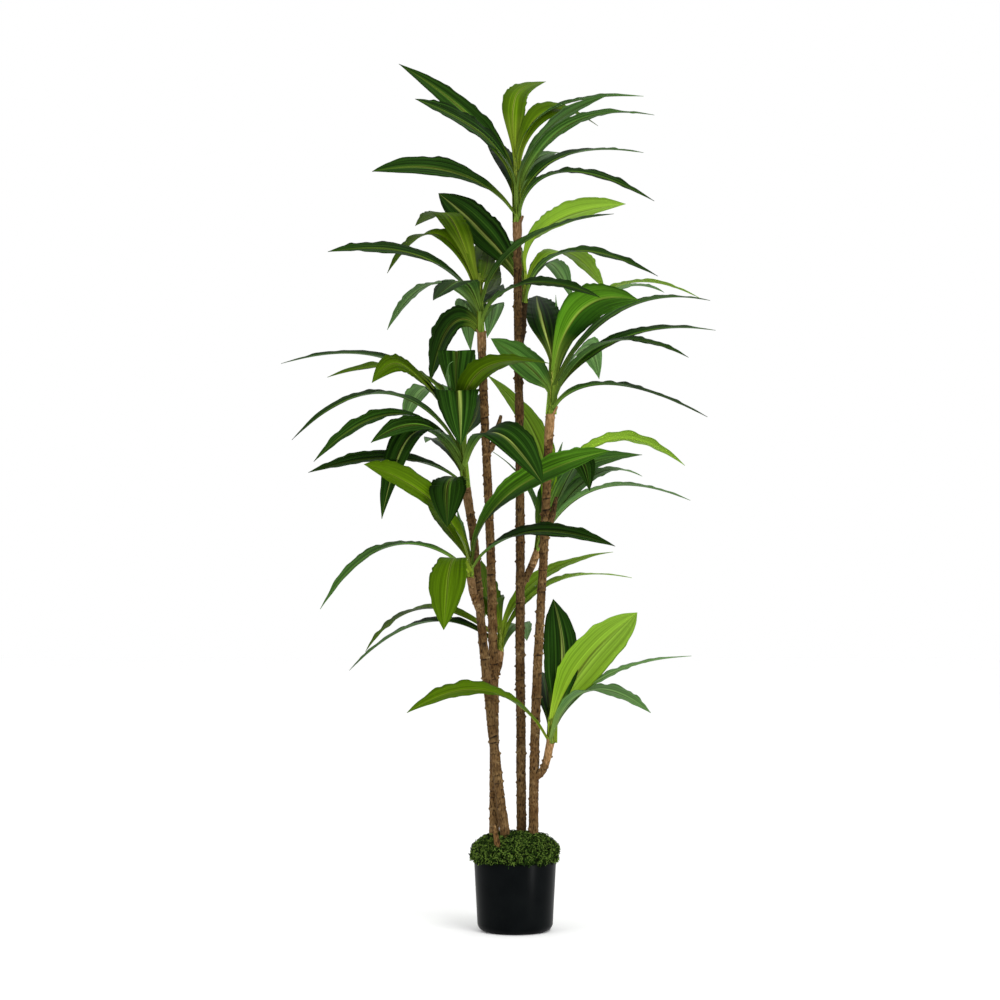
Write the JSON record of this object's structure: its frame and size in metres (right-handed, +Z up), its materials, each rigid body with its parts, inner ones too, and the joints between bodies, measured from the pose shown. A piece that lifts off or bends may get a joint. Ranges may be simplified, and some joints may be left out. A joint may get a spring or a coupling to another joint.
{
  "type": "artificial potted dracaena",
  "caption": "Tall artificial dracaena with bare brown stems, crowns of striped strap leaves and a cap of moss, in a plain round black pot.",
  "frame": {"origin": "centre of the pot's flat underside, on the surface that it stands on", "axes": "+Z up the stems, +X to the right seen from the front, +Y away from the viewer"},
  "size_m": [0.8146, 0.6402, 1.6389],
  "materials": {
    "pot": "moulded polypropylene, satin black",
    "filler": "cast cement, hidden under the moss",
    "moss": "dyed preserved moss, matt",
    "bark": "moulded stem sleeve, matt brown with rings and knots",
    "leaf": "printed and coated woven leaf, satin green with yellow stripes"
  },
  "bodies": {
    "root": {"pot": "pot", "filler": "filler", "moss": "moss", "stem_front_left": "bark", "stem_left": "bark", "stem_middle": "bark", "stem_right": "bark", "bough_top_side": "bark", "bough_left_low": "bark", "bough_right_back": "bark", "bough_back_low": "bark", "bough_right_low": "bark", "stub_left": "bark", "stub_right": "bark", "sprout": "bark", "crown_top": "leaf", "crown_top_side": "leaf", "crown_left_high": "leaf", "crown_right": "leaf", "crown_left": "leaf", "crown_left_low": "leaf", "crown_right_back": "leaf", "crown_back_low": "leaf", "crown_right_low": "leaf"}
  },
  "joints": []
}
